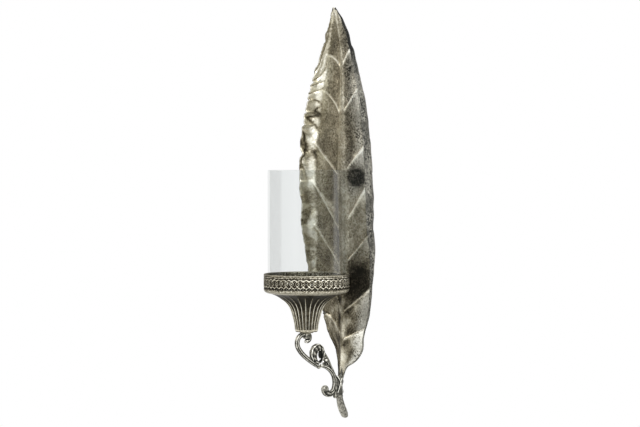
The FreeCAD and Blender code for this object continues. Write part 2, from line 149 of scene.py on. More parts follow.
# y, z and width along each of the arm's other bands
S_BAND = (
    (-47.5, -334.2, 4.6), (-40.0, -335.6, 5.0), (-34.0, -338.2, 5.4), (-27.8, -343.0, 5.6),
    (-23.9, -348.6, 5.6), (-22.2, -355.0, 5.4), (-22.4, -362.0, 5.6), (-24.4, -367.6, 6.6),
    (-29.6, -371.0, 8.0), (-35.6, -370.0, 9.0), (-39.6, -366.4, 9.0), (-40.0, -362.8, 7.6),
)
SCROLL_END = (-39.0, -364.6)
SPINE = (
    (-22.9, -349.0, 3.4), (-25.6, -343.6, 3.4), (-29.8, -337.4, 3.8), (-33.2, -331.2, 4.4),
    (-37.2, -325.0, 4.4), (-42.4, -317.9, 3.6),
)
SPUR = ((-52.6, -333.4, 4.8), (-50.0, -336.0, 4.0), (-48.5, -338.4, 1.8))
LASHINGS = (
    ((-21.0, -348.6, 1.8), (-15.8, -356.0, 1.8), (-12.4, -364.0, 1.6)),
    ((-12.6, -351.6, 1.6), (-16.0, -361.0, 1.8), (-20.4, -371.5, 1.8)),
)
RING_CENTRE = (-52.6, -318.9)
RING_RADII = (11.6, 12.8)
EYE_CENTRE = (-49.4, -322.4)
EYE_RADII = (4.7, 6.6)
BEAD = (-38.2, -327.9)
FOOT_Y = (-23.7, -16.6)
FOOT_Z = (-378.0, -350.0)
BOSS_Z = -295.2
ARM_VOXEL = 0.35

# --- view ----------------------------------------------------------------------------------------
VIEW_TURN = math.radians(47)
VIEW_PITCH = math.radians(1.13)
VIEW_DISTANCE = 2.125
VIEW_SIDE = 0.0166
VIEW_TARGET = (0.0, -0.0702, -0.100)
LENS = 95.6
FLOOR_Z = -0.95
FLOOR_R = 3200.0
FLOOR_SIDES = 64


# --- mesh tools ------------------------------------------------------------------------------------
def station_curve(stations, column, heights):
    """The smooth curve through one column of the stations, read at each of the heights."""
    rows = np.array(sorted(map(tuple, stations)), float)
    z, v = rows[:, 0], rows[:, column]
    slope = np.gradient(v, z)
    slope[1:-1] = (v[2:] - v[:-2]) / (z[2:] - z[:-2])
    i = np.clip(np.searchsorted(z, heights) - 1, 0, len(z) - 2)
    span = z[i + 1] - z[i]
    t = (heights - z[i]) / span
    start = (2 * t**3 - 3 * t**2 + 1) * v[i] + (t**3 - 2 * t**2 + t) * slope[i] * span
    end = (3 * t**2 - 2 * t**3) * v[i + 1] + (t**3 - t**2) * slope[i + 1] * span
    return start + end


def smooth_step(low, high, value):
    t = np.clip((value - low) / (high - low), 0, 1)
    return t * t * (3 - 2 * t)


def bump(value, centre, width):
    return np.exp(-(((value - centre) / width) ** 2))


def grain(x, y, z):
    """Smooth noise between about -1 and 1 at each point of three arrays."""
    flat = zip(np.ravel(x), np.ravel(y), np.ravel(z))
    return np.array([noise.noise(Vector(p)) for p in flat]).reshape(np.shape(x))


def grid_faces(rows, columns, close_rows=False, close_columns=False):
    r = np.arange(rows if close_rows else rows - 1)
    c = np.arange(columns if close_columns else columns - 1)
    r, c = np.meshgrid(r, c, indexing="ij")
    r2, c2 = (r + 1) % rows, (c + 1) % columns
    quads = [r * columns + c, r * columns + c2, r2 * columns + c2, r2 * columns + c]
    return np.stack(quads, -1).reshape(-1, 4)


def tube_faces(rows, sides):
    """Faces of a closed tube: its wall and its two flat ends."""
    faces = grid_faces(rows, sides, close_columns=True).tolist()
    faces.append(list(range(sides))[::-1])
    faces.append(list(range((rows - 1) * sides, rows * sides)))
    return faces


def shell(front, back, faces):
    """A closed body from an open sheet, its copy on the other side, and walls along every rim."""
    count = len(front)
    edges = np.concatenate([faces[:, [k, (k + 1) % 4]] for k in range(4)])
    ordered = np.sort(edges, axis=1)
    keys = ordered[:, 0] * count + ordered[:, 1]
    _, first, number = np.unique(keys, return_index=True, return_counts=True)
    rim = edges[first[number == 1]]
    walls = np.stack([rim[:, 1], rim[:, 0], rim[:, 0] + count, rim[:, 1] + count], axis=1)
    return np.concatenate([front, back]), np.concatenate([faces, faces[:, ::-1] + count, walls])


def write_values(mesh, name, values):
    attribute = mesh.attributes.new(name, "FLOAT", "POINT")
    attribute.data.foreach_set("value", values.astype(np.float32))


def add_object(name, points, faces):
    """A smooth mesh object in metres from points in millimetres."""
    mesh = bpy.data.meshes.new(name)
    mesh.from_pydata((points * MM).tolist(), [], faces)
    mesh.polygons.foreach_set("use_smooth", np.ones(len(mesh.polygons), bool))
    made = bpy.data.objects.new(name, mesh)
    bpy.context.scene.collection.objects.link(made)
    return made


def make_mesh(name, points, faces, values=None):
    """An object from faces of one kind, without unused points and with named values at the others."""
    faces = np.asarray(faces)
    used, flat = np.unique(faces, return_inverse=True)
    made = add_object(name, points[used], flat.reshape(faces.shape).tolist())
    for key, value in (values or {}).items():
        write_values(made.data, key, value[used])
    return made


def mark_relief(piece, rounds, span):
    """Writes how far each point stands above the smoothed surface: 0 in hollows, 1 on ridges."""
    mesh = piece.data
    count = len(mesh.vertices)
    points = np.empty(count * 3)
    mesh.vertices.foreach_get("co", points)
    points = points.reshape(-1, 3)
    normals = np.empty(count * 3)
    mesh.vertices.foreach_get("normal", normals)
    edges = np.empty(len(mesh.edges) * 2, int)
    mesh.edges.foreach_get("vertices", edges)
    a, b = edges.reshape(-1, 2).T
    degree = np.bincount(a, minlength=count) + np.bincount(b, minlength=count)
    level = points.copy()
    for _ in range(rounds):
        for axis in range(3):
            column = level[:, axis]
            total = np.bincount(a, column[b], count) + np.bincount(b, column[a], count)
            level[:, axis] = 0.5 * column + 0.5 * total / degree
    height = ((points - level) * normals.reshape(-1, 3)).sum(1) / MM
    write_values(mesh, "relief", np.clip(0.5 + 0.5 * height / span, 0, 1))


def turned(name, outline, y, x=0.0, columns=160):
    """A turned piece: a closed outline of (radius, height), outer side upwards, round a vertical axis."""
    outline = np.array(outline, float)
    angles = TURN * np.arange(columns) / columns
    radius, height = outline[:, :1], outline[:, 1:]
    points = [x + radius * np.cos(angles), y + radius * np.sin(angles), height + 0 * angles]
    grid = np.stack(points, -1)
    return make_mesh(name, grid.reshape(-1, 3), grid_faces(len(outline), columns, True, True))


def rounded_ring(inner, outer, low, high, radius, steps=6):
    """Outline of a ring whose four corners are rounded, from its inner foot outwards and up."""
    corners = (
        (outer - radius, low + radius, -90), (outer - radius, high - radius, 0),
        (inner + radius, high - radius, 90), (inner + radius, low + radius, 180),
    )
    outline = []
    for r, z, start in corners:
        for i in range(steps + 1):
            angle = math.radians(start + 90 * i / steps)
            outline.append((r + radius * math.cos(angle), z + radius * math.sin(angle)))
    return outline


# --- leaf ------------------------------------------------------------------------------------------
def leaf_rows():
    """The plain front face of the leaf, before its relief, and where each point lies on it."""
    heights = np.linspace(LEAF_STATIONS[-1][0], LEAF_STATIONS[0][0], LEAF_ROWS)
    half_shares = np.linspace(0, 1, LEAF_COLUMNS + 1)
    shares = np.concatenate([-half_shares[:0:-1], half_shares])
    z, share = np.meshgrid(heights, shares, indexing="ij")
    left = share < 0
    rib, left_half, right_half, roll, dish = (station_curve(LEAF_STATIONS, k, z) for k in range(1, 6))
    half = np.where(left, left_half, right_half)
    share = np.abs(share)
    half = half + leaf_outline(z, left) * smooth_step(0.7, 1.0, share)
    radius = ROLL_RADIUS * roll
    strip = (roll - radius * (1 - math.cos(ROLL_TURN))) / math.sin(ROLL_TURN)
    floor = half - radius * math.sin(ROLL_TURN) - strip * math.cos(ROLL_TURN)
    turn = ROLL_TURN * np.clip((share - FLOOR_SHARE) / (ROLL_SHARE - FLOOR_SHARE), 0, 1)
    run = strip * np.clip((share - ROLL_SHARE) / (1 - ROLL_SHARE), 0, 1)
    x = floor * np.minimum(share / FLOOR_SHARE, 1) + radius * np.sin(turn) + run * math.cos(ROLL_TURN)
    forward = radius * (1 - np.cos(turn)) + run * math.sin(ROLL_TURN) + dish * (x / half) ** 2
    side = np.where(left, -1.0, 1.0)
    rib_half = station_curve(MIDRIB, 1, z)
    valley = RIB_HEIGHT * (1 - np.exp(-((x / (rib_half + 1.2)) ** 2.6)))
    front = np.stack([side * x, rib + valley - forward, z], -1)
    return front, left, share, x, z, half, rib_half


def leaf_outline(z, left):
    """The ragged rim, in millimetres outwards: folds and notches on the left, a soft wave on the right."""
    row = np.where(left, 3.0, 8.0)
    wave = grain(z / 9.0, row, 0 * z) * np.where(left, 2.0, 0.9) + 0.5 * grain(z / 2.6, row, 0 * z + 4)
    notches = sum(depth * bump(z, height, reach) for height, depth, reach in NOTCHES)
    return (wave - np.where(left, notches, 0.0)) * smooth_step(-340, -300, z) * smooth_step(118, 95, z)


def vein_relief(x, z, left):
    """Height of the veins, and the share of the way from one vein up to the next."""
    ridge = np.zeros_like(x)
    below = np.full_like(x, -1e6)
    above = np.full_like(x, 1e6)
    for side, foot, rise, bend in VEINS:
        mine = left == (side < 0)
        reach = np.minimum(x, -VEIN_ARCH * rise / bend) if bend else x
        line = foot + rise * reach + bend * reach**2 + VEIN_TAIL * rise * (x - reach)
        slope = np.where(x > reach, VEIN_TAIL * rise, rise + 2 * bend * x)
        distance = (z - line) / np.sqrt(1 + slope**2)
        ridge = np.where(mine, np.maximum(ridge, bump(distance, 0, VEIN_WIDTH)), ridge)
        below = np.where(mine & (line <= z), np.maximum(below, line), below)
        above = np.where(mine & (line > z), np.minimum(above, line), above)
    below = np.where(below < -1e5, LEAF_END_VEINS[0] + x, below)
    above = np.where(above > 1e5, LEAF_END_VEINS[1] + 2 * x, above)
    return ridge, np.clip((z - below) / np.maximum(above - below, 1e-3), 0, 1)


def face_normals(grid):
    along = np.gradient(grid, axis=0)
    across = np.gradient(grid, axis=1)
    normal = np.cross(across, along)
    return normal / np.maximum(np.linalg.norm(normal, axis=-1, keepdims=True), 1e-9)


def crumple(z, share):
    """Left roll: smooth folds parted by creases, narrow ones in the middle, as height and crease."""
    ribs = bump(z, -6, 32)
    drift = 6.0 * grain(z / 26.0, share * 2.0, 0 * z + 31)
    parting = np.abs(grain((z + drift) / (22.0 - 12.0 * ribs), share * (4.5 - 3.2 * ribs), 0 * z + 2))
    cross = np.abs(grain(z / 5.0 + 9, share * 6.5, 0 * z + 5))
    folds = np.minimum(parting / 0.26, 1) ** 0.8
    small = np.minimum(cross / 0.22, 1)
    hatch = bump(z, -77, 10) * smooth_step(0.74, 0.8, share) * np.sin(z * 2.4 + share * 30)
    sharp = smooth_step(-125, -60, z) * 0.75 + 0.25
    waves = 1.6 * (1 - sharp) * grain(z / 13.0, share * 3.0, 0 * z + 17)
    height = sharp * (1.7 * (folds - 0.6) + 0.5 * (small - 0.6)) + 0.3 * hatch + waves
    return height, sharp * (1 - folds * (0.6 + 0.4 * small))


def hanger_calm(x, z):
    """0 where the hanger holds the sheet flat, 1 elsewhere."""
    height, along, across = HANGER_CALM
    return 1 - bump(z, height, along) * np.exp(-((x / across) ** 4))


def leaf_wear_and_highlights(leaf):
    """Where the finish is worn bright: veins, midrib, the top of the leaf and a streak; and where highlights
    are painted: the facet under each vein's end, the left rolled edge and the floor beside it, the midrib's
    left shoulder and the lowest facet.
    """
    left, share, x, z, ruffled, tip = (leaf[k] for k in ("left", "share", "x", "z", "ruffled", "tip"))
    # painted highlight: a bright patch on the facet under each vein's end, strongest on the right
    facet_highlight = smooth_step(0.55, 0.98, leaf["climb"]) * smooth_step(0.32, 0.58, share)
    facet_highlight = facet_highlight * smooth_step(0.92, 0.70, share)
    wear_and_highlight = 1.2 * leaf["ridge"] * leaf["on_floor"] + np.where(left, 0.35, 1.1) * facet_highlight
    # painted highlight on the left rolled edge: bright on its folds and near its top, dimmer in its creases
    # and only in spots lower down
    upper = smooth_step(-118, -88, z)
    spots = np.clip(0.45 + 2.6 * grain(z / 10.0, share * 3.0, 0 * z + 41), 0.1, 1)
    roll_highlight = (1.25 - 1.4 * leaf["creases"]) * (upper + (1 - upper) * spots)
    wear_and_highlight = wear_and_highlight + smooth_step(0.1, 1.0, leaf["roll"]) * ruffled * roll_highlight + 0.3 * tip * leaf["roll"]
    # painted highlight on the upper left floor next to the roll
    wear_and_highlight = wear_and_highlight + np.where(left, 0.55 * bump(z, 22, 24) * smooth_step(0.45, 0.64, share), 0.0)
    wear_and_highlight = wear_and_highlight + leaf["low"] * leaf["inner"] * 0.8 * np.clip(leaf["clouds"], 0, 1)
    on_rib = smooth_step(1.25, 0.75, x / (leaf["rib_half"] + 0.8))
    # painted highlight along the left shoulder of the midrib
    rib_shoulder_highlight = bump(leaf["side"] * x, -(leaf["rib_half"] + 0.2), 0.9)
    # painted highlight on the lowest facet of the right half
    low_facet = leaf["low_facet"] * (1 - leaf["inner"])
    wear_and_highlight = wear_and_highlight + 0.26 * on_rib + 0.3 * rib_shoulder_highlight + 0.46 * low_facet + 0.5 * bump(z, 112, 16)
    height, rise, reach = STREAK
    streak = bump(z, height + rise * x, reach) * smooth_step(15, 20, x) * smooth_step(43, 38, x)
    worn = np.clip(0.75 + 1.2 * grain(x / 2.5, z / 2.5, 0 * z + 9), 0, 1)
    return wear_and_highlight + np.where(left, streak * worn, 0.0)


# A painted dark reflection on the right half of the leaf.
def painted_reflection(x, z, place):
    across, height, reach_across, reach_along, strength = place
    return strength * bump(x, across, reach_across) * bump(z, height, reach_along)


def leaf_soot_shade_reflection(leaf):
    """Where the finish is darkened: painted dark reflections on the right half, the foot of the midrib,
    painted shade in the left roll's creases, and the rim.
    """
    left, share, x, z, rib_half = (leaf[k] for k in ("left", "share", "x", "z", "rib_half"))
    # painted dark reflections of the glass's top edge and the cup's rim, kept off the lowest facet
    darkening = painted_reflection(x, z, UPPER_GLASS_REFLECTION) + painted_reflection(x, z, LOWER_RIM_REFLECTION) * (1 - leaf["low_facet"])
    near_rib = bump(x, rib_half + 9, 8) * np.where(left, 0.3, 0.9) * smooth_step(-130, -60, z)
    groove = np.where(left, bump(x, rib_half + 3.5, 3.5) * smooth_step(-60, -100, z), 0.0)
    soot_shade_reflection = 1.2 * np.where(left, 0.0, darkening) + 0.45 * near_rib + 0.3 * groove
    # painted shade in the creases of the left roll
    soot_shade_reflection = soot_shade_reflection + 0.8 * leaf["roll"] * leaf["ruffled"] * smooth_step(0.5, 1.0, leaf["creases"])
    soot_shade_reflection = soot_shade_reflection + 0.35 * smooth_step(0.97, 1.0, share) * np.where(left, 0.4, 1.0)
    return soot_shade_reflection + leaf["low"] * leaf["inner"] * 1.1 * np.clip(-leaf["clouds"], 0, 1)


def leaf_cool(leaf):
    """Where the silver is grey and speckled instead of warm: the right half, less on its floor."""
    left, share, x, z = (leaf[k] for k in ("left", "share", "x", "z"))
    warm_floor = smooth_step(-104, -132, z) * smooth_step(-262, -236, z)
    warm_floor = np.maximum(warm_floor, bump(z, -45, 40) * smooth_step(0.45, 0.2, share))
    warm_floor = warm_floor * smooth_step(0.8, 0.5, share)
    cool = np.where(left, 0.0, 1.0) * smooth_step(-2, 18, x) * (1 - leaf["low"] * leaf["inner"])
    return cool * (1 - 0.75 * warm_floor)


def leaf_blade():
    front, left, share, x, z, half, rib_half = leaf_rows()
    side = np.where(left, -1.0, 1.0)
    ridge, climb = vein_relief(x, z, left)
    folds, creases = crumple(z, share)
    on_floor = smooth_step(0.9, 1.2, x / (rib_half + 0.8)) * smooth_step(0.82, 0.66, share)
    roll = smooth_step(FLOOR_SHARE - 0.04, FLOOR_SHARE + 0.1, share)
    ruffled = np.where(left, smooth_step(-262, -215, z) * smooth_step(68, 38, z), 0.0)
    tip = np.where(left, smooth_step(30, 60, z), 0.0)
    calm = hanger_calm(x, z)
    hollow = PLEAT * 4 * climb * (1 - climb) * smooth_step(0, 0.4, x / half) * calm
    hollow = hollow * smooth_step(0.9, 0.6, share)
    ruffle = roll * folds * (ruffled + 0.35 * tip)
    wobble = 0.8 * roll * (1 - ruffled) * grain(z / 13.0, share * 2.0 + side, 0 * z + 7)
    swell = 0.55 * grain(x / 11.0, z / 14.0, side * 5) * calm
    fine = 0.12 * grain(x / 2.3, z / 2.3, side * 4)
    raised = VEIN_HEIGHT * ridge * on_floor * smooth_step(-356, -320, z) - hollow + ruffle + wobble + fine
    front = front + face_normals(front) * (raised + swell)[..., None]
    back = front - face_normals(front) * SHEET

    leaf = {
        "left": left, "side": side, "share": share, "x": x, "z": z, "rib_half": rib_half,
        "ridge": ridge, "climb": climb, "creases": creases, "on_floor": on_floor, "roll": roll,
        "ruffled": ruffled, "tip": tip, "low": smooth_step(-215, -250, z),
        "inner": 1 - smooth_step(0.25, 0.55, share), "clouds": grain(x / 9.0, z / 13.0, side * 7),
        "low_facet": np.where(left, 0.0, smooth_step(-262, -280, z - 0.67 * x)) * smooth_step(-345, -330, z),
    }
    shade = np.where(left, smooth_step(0.75, 0.2, share) * smooth_step(-40, -90, z), 0.0)
    outside = np.where(left, 0.0, smooth_step(45, 70, z) * roll)
    none, full = 0 * z, 1 + 0 * z
    values = {}
    for name, on_front, on_back in (
        ("wear_and_highlight", leaf_wear_and_highlights(leaf), none), ("soot_shade_reflection", leaf_soot_shade_reflection(leaf), outside),
        ("cool", leaf_cool(leaf), full), ("shade", shade, none), ("face", full, none),
    ):
        values[name] = np.clip(np.concatenate([on_front.ravel(), on_back.ravel()]), 0, 1)
    points, faces = shell(front.reshape(-1, 3), back.reshape(-1, 3), grid_faces(*front.shape[:2]))
    return make_mesh("leaf_skin", points, faces, values)


# --- cup -------------------------------------------------------------------------------------------
def gallery_unit(u, v):
    """Relief of one gallery unit, and the distance to its openings; v is 0 at the row of ovals."""
    peak = math.pi * GALLERY_R / UNITS
    across = np.abs(u)
    edge = peak - across
    oval = np.sqrt((u / 2.5) ** 2 + (v / 3.0) ** 2)
    relief = np.maximum(0.9 * bump(oval, 0.88, 0.17), 0.9 * np.clip(1 - (oval / 0.45) ** 2, 0, 1))
    relief = np.maximum(relief, 0.8 * bump(np.hypot(edge, np.abs(v) - 2.4), 0, 0.6))
    for middle, rise in ((-4.9, -2.4), (4.0, 1.6)):
        line = middle + rise * (0.5 - edge / peak)
        relief = np.maximum(relief, bump((v - line) * 0.8, 0, 0.5))
    for where in (0.0, 1.83, peak):
        relief = np.maximum(relief, bump(np.hypot(across - where, v - 6.9), 0, 0.8))
        relief = np.maximum(relief, 0.9 * bump(np.hypot(across - where, v + 8.9), 0, 0.75))
    relief = np.maximum(relief, 0.8 * bump(v, 8.7, 0.5))
    relief = np.maximum(relief, 0.8 * bump(v, -10.3, 0.8))
    holes = (np.hypot(edge / 0.5, v / 1.25) - 1) * 0.5
    for aside in (across, edge):
        holes = np.minimum(holes, np.hypot(aside, v + 7.0) - 0.85)
    return relief, holes


def gallery_radius(z):
    """Outside of the cup's wall: upright above, rounding in towards the bell below."""
    sink = np.clip((FOOT_TURN_Z - z) / (FOOT_TURN_Z - RING_LOW_Z), 0, 1)
    return RING_FOOT_R + (GALLERY_R - RING_FOOT_R) * np.sqrt(1 - sink**2)


def gallery_band():
    """The strip with its ornament: grid lines move onto the rims of the openings, which are left out."""
    columns = UNITS * UNIT_COLUMNS
    pitch = TURN * GALLERY_R / UNITS
    low, high = GALLERY_LOW_Z - OVAL_Z, GALLERY_HIGH_Z - OVAL_Z
    s, v = np.meshgrid(np.arange(columns) * pitch / UNIT_COLUMNS, np.linspace(low, high, BAND_ROWS))

    def unit(s, v):
        return gallery_unit((s + pitch / 2) % pitch - pitch / 2, v)

    small = 0.02
    free = (v > low + 0.5) & (v < high - 0.5)
    for _ in range(2):
        away = unit(s, v)[1]
        ds = (unit(s + small, v)[1] - unit(s - small, v)[1]) / (2 * small)
        dv = (unit(s, v + small)[1] - unit(s, v - small)[1]) / (2 * small)
        step = np.where((np.abs(away) < 0.22) & free, away / np.maximum(ds**2 + dv**2, 0.2), 0)
        s, v = s - step * ds, v - step * dv
    relief = unit(s, v)[0]
    faces = grid_faces(BAND_ROWS, columns, close_columns=True)
    faces = faces[unit(s, v)[1].ravel()[faces].mean(1) > -0.02]
    angle = s / GALLERY_R

    def wall(raised):
        radius = gallery_radius(OVAL_Z + v) + raised
        points = [radius * np.cos(angle), CUP_Y + radius * np.sin(angle), OVAL_Z + v]
        return np.stack(points, -1).reshape(-1, 3)

    points, faces = shell(wall(0.5 * relief - 0.3), wall(0 * relief - GALLERY_WALL), faces)
    outside = np.clip(relief, 0, 1).ravel()
    inside = 0.3 + 0.5 * outside
    return make_mesh("gallery_pierced", points, faces, {"relief": np.concatenate([outside, inside])})


def gallery_foot():
    """The rounded ring under the gallery, with the ledge that carries the pan."""
    outline = [(RING_INNER_R, LEDGE_Z), (RING_INNER_R, RING_LOW_Z), (RING_FOOT_R, RING_LOW_Z)]
    steps = 8
    for i in range(1, steps + 1):
        z = RING_LOW_Z + (GALLERY_LOW_Z + 0.3 - RING_LOW_Z) * i / steps
        outline.append((float(gallery_radius(z)) + 0.2, z))
    outline += [(RING_REST_R + 1, RING_REST_Z), (RING_REST_R, RING_REST_Z), (RING_REST_R, LEDGE_Z)]
    return turned("gallery_foot", outline, CUP_Y)


def gallery_lip():
    angles = [TURN * i / 14 for i in range(14)]
    outline = [(LIP_RING_R + LIP_R * math.cos(a), LIP_Z + LIP_R * math.sin(a)) for a in angles]
    return turned("gallery_lip", outline, CUP_Y)


def cup_bell():
    """One closed fluted wall: down the outside, through the floor to the stud and up the inside."""
    columns = FLUTES * 16
    angles = TURN * np.arange(columns) / columns
    hollow = np.abs(np.sin(FLUTES * angles / 2)) ** 0.7
    top, foot = BELL_STATIONS[0][0], BELL_STATIONS[-1][0]
    heights = top - (top - foot) * np.linspace(0, 1, 90) ** 1.1
    radii = station_curve(BELL_STATIONS, 1, heights)
    depths = station_curve(BELL_STATIONS, 2, heights)
    outer = radii[:, None] - depths[:, None] * hollow
    drop = -0.5 * bump(heights, foot, 1.2)[:, None] * (1 - hollow)
    floor = np.array([[STUD_HOLE_R, foot], [STUD_HOLE_R, foot + 3], [9.0, foot + 3], [10.5, foot + 3.6]])
    inner_z = np.linspace(-284, top, 24)
    inner_r = station_curve(BELL_STATIONS, 1, inner_z) - station_curve(BELL_STATIONS, 2, inner_z)
    inner_r = inner_r - BELL_WALL
    rows = [np.stack([outer[i], heights[i] + drop[i]], -1) for i in range(len(heights))]
    rows += [np.tile(point, (columns, 1)) for point in floor]
    rows += [np.tile((r, z), (columns, 1)) for r, z in zip(inner_r, inner_z)]
    rows = np.array(rows)[::-1]
    points = [rows[..., 0] * np.cos(angles), CUP_Y + rows[..., 0] * np.sin(angles), rows[..., 1]]
    grid = np.stack(points, -1)
    level = grid[..., 2].ravel()
    shade = np.maximum(smooth_step(-266, -245, level), 1.6 * bump(level, -289.6, 1.4))
    faces = grid_faces(len(rows), columns, True, True)
    piece = make_mesh("bell_fluted", grid.reshape(-1, 3), faces, {"shade": shade})
    mark_relief(piece, 12, 0.5)
    return piece


def glass():
    x = GLASS_PLAY * math.cos(GLASS_PLAY_ANGLE)
    y = CUP_Y + GLASS_PLAY * math.sin(GLASS_PLAY_ANGLE)
    outline = rounded_ring(GLASS_R - GLASS_WALL, GLASS_R, SEAT_Z, SEAT_Z + GLASS_HEIGHT, 1.0, 8)
    return turned("glass_tube", outline, y, x, 192)


def leaf_stem():
    """The rod below and behind the leaf, with the marks of its casting."""
    foot = np.linspace(-404.5, -400, 16)
    heights = np.concatenate([foot, np.linspace(-399.3, -330, 100), np.linspace(-329, -210, 50)])
    centre = station_curve(STEM_STATIONS, 1, heights)
    radius = np.maximum(station_curve(STEM_STATIONS, 2, heights), 0.3)
    angles = TURN * np.arange(STEM_SIDES) / STEM_SIDES
    z, angle = np.meshgrid(heights, angles, indexing="ij")
    mark = grain(np.cos(angle) * 2.2, np.sin(angle) * 2.2, z / 3.4)
    uneven = grain(3 * np.cos(angle), 3 * np.sin(angle), 0 * z)
    collar = bump(z, STEM_COLLAR_Z, 0.9) * (0.25 + 0.3 * uneven)
    r = radius[:, None] * (1 + 0.05 * mark) + collar
    y = np.minimum(centre[:, None] + r * np.sin(angle), -0.02)
    grid = np.stack([r * np.cos(angle), y, z], -1)
    piece = add_object("stem_cast", grid.reshape(-1, 3), tube_faces(len(heights), STEM_SIDES))
    mark_relief(piece, 10, 0.2)
    return piece


# --- arm -------------------------------------------------------------------------------------------
def walk(start, heading, arcs, step=0.5):
    """Points and headings along arcs of (radius, turn); a negative turn is clockwise."""
    y, z = start
    path = []
    for radius, turn in arcs:
        side = 1 if turn > 0 else -1
        toward = math.radians(heading + side * 90)
        cy, cz = y + radius * math.cos(toward), z + radius * math.sin(toward)
        count = max(3, int(abs(math.radians(turn)) * radius / step))
        for i in range(count):
            now = heading + turn * i / count
            angle = math.radians(now - side * 90)
            path.append((cy + radius * math.cos(angle), cz + radius * math.sin(angle), now))
        end = math.radians(heading - side * 90 + turn)
        y, z = cy + radius * math.cos(end), cz + radius * math.sin(end)
        heading += turn
    path.append((y, z, heading))
    return path


def section(width, half, ribbed=True, sides=40):
    """The band's section as (in-plane, across) points: soft corners, side grooves and a middle rib."""
    points = []
    for i in range(sides):
        angle = TURN * i / sides
        c, s = math.cos(angle), math.sin(angle)
        n = math.copysign(abs(c) ** 0.62, c) * width / 2
        x = math.copysign(abs(s) ** 0.62, s) * half
        if ribbed:
            groove = math.exp(-(((abs(n) - 0.26 * width) / (0.11 * width)) ** 2))
            x -= math.copysign(0.85 * groove * abs(s), s)
        points.append((n, x))
    return points


def through(points, step=0.45):
    """A smooth path through (y, z, width) points, as (y, z, heading, width) rows."""
    points = np.array(points, float)
    length = np.concatenate([[0], np.cumsum(np.hypot(*np.diff(points[:, :2], axis=0).T))])
    stations = np.column_stack([length, points])
    along = np.linspace(0, length[-1], max(6, int(length[-1] / step)))
    y, z, width = (station_curve(stations, k, along) for k in (1, 2, 3))
    heading = np.degrees(np.unwrap(np.arctan2(np.gradient(z), np.gradient(y))))
    return list(zip(y, z, heading, width))


def sweep(path, half, ribbed=True, lobes=0):
    """A closed band along (y, z, heading, width) rows, rounded off at both ends."""
    rows = []
    last = len(path) - 1
    for i, (y, z, heading, width) in enumerate(path):
        near_end = min(i, last - i) / 4
        size = math.sqrt(max(1 - max(1 - near_end, 0) ** 2, 0.03))
        thick = half * size * (1 + 0.12 * math.cos(TURN * lobes * i / last)) if lobes else half * size
        angle = math.radians(heading + 90)
        row = []
        for n, x in section(width * size, thick, ribbed):
            row.append((x, y + n * math.cos(angle), z + n * math.sin(angle)))
        rows.append(row)
    rows = np.array(rows)
    return rows.reshape(-1, 3), tube_faces(*rows.shape[:2])


def scroll_ring(count=110):
    """The curled-over leaf: a ring that is thick at its top left and thin at its lower right."""
    path = []
    for i in range(count):
        angle = TURN * i / (count - 1) - 0.6
        c, s = math.cos(angle), math.sin(angle)
        outer = (RING_CENTRE[0] + RING_RADII[0] * c, RING_CENTRE[1] + RING_RADII[1] * s)
        inner = (EYE_CENTRE[0] + EYE_RADII[0] * c, EYE_CENTRE[1] + EYE_RADII[1] * s)
        run = (outer[0] - inner[0], outer[1] - inner[1])
        heading = math.degrees(math.atan2(run[1], run[0])) + 90
        path.append(((outer[0] + inner[0]) / 2, (outer[1] + inner[1]) / 2, heading, math.hypot(*run)))
    return path


def blob(centre, radii, corner=1.0):
    """A closed rounded body: an ellipsoid, or a soft block as the corner value falls."""
    rings, sides = 24, 40
    rows = []
    for i in range(rings + 1):
        polar = -math.pi / 2 + math.pi * (i + 0.02) / (rings + 0.04)
        for j in range(sides):
            around = TURN * j / sides
            flat = abs(math.cos(polar)) ** corner
            x = flat * math.copysign(abs(math.cos(around)) ** corner, math.cos(around))
            y = flat * math.copysign(abs(math.sin(around)) ** corner, math.sin(around))
            z = math.copysign(abs(math.sin(polar)) ** corner, math.sin(polar))
            rows.append((centre[0] + radii[0] * x, centre[1] + radii[1] * y, centre[2] + radii[2] * z))
    return np.array(rows), tube_faces(rings + 1, sides)


def arm_parts():
    """The bands, bosses and beads that make up the arm, each as closed points and faces."""
    scroll = [(*row, BAND) for row in walk(JUNCTION, C_HEADING, C_ARCS)]
    parts = [sweep(scroll, ARM_HALF), sweep(through(S_BAND), ARM_HALF)]
    parts.append(sweep(scroll_ring(), 3.5, lobes=9))
    parts.append(sweep(through(SPINE), 2.9))
    parts.append(sweep(through(SPUR), 2.4, ribbed=False))
    parts += [sweep(through(lashing), 4.4, ribbed=False) for lashing in LASHINGS]
    parts.append(blob((0, *BEAD), (3.7, 2.5, 2.5)))
    parts.append(blob((0, BEAD[0] - 0.4, BEAD[1] - 3.2), (1.3, 4.6, 3.6)))
    parts.append(blob((0, EYE_CENTRE[0] + 2.2, EYE_CENTRE[1] + 2.2), (1.1, 3.4, 5.2)))
    parts.append(blob((0, *SCROLL_END), (3.8, 5.6, 4.9)))
    foot_middle = (sum(FOOT_Y) / 2, sum(FOOT_Z) / 2)
    foot_half = ((FOOT_Y[1] - FOOT_Y[0]) / 2, (FOOT_Z[1] - FOOT_Z[0]) / 2)
    parts.append(blob((0, *foot_middle), (3.4, *foot_half), 0.5))
    parts.append(blob((0, CUP_Y, BOSS_Z), (4.3, 4.3, 3.8), 0.5))
    return parts


def fuse(piece):
    """Grows overlapping closed parts into one skin, slightly relaxed."""
    rough = piece.data
    remesh = piece.modifiers.new("fuse", "REMESH")
    remesh.mode = "VOXEL"
    remesh.voxel_size = ARM_VOXEL * MM
    remesh.use_smooth_shade = True
    relax = piece.modifiers.new("relax", "SMOOTH")
    relax.iterations = 2
    seen = piece.evaluated_get(bpy.context.evaluated_depsgraph_get())
    skin = bpy.data.meshes.new_from_object(seen)
    piece.modifiers.clear()
    piece.data = skin
    bpy.data.meshes.remove(rough)


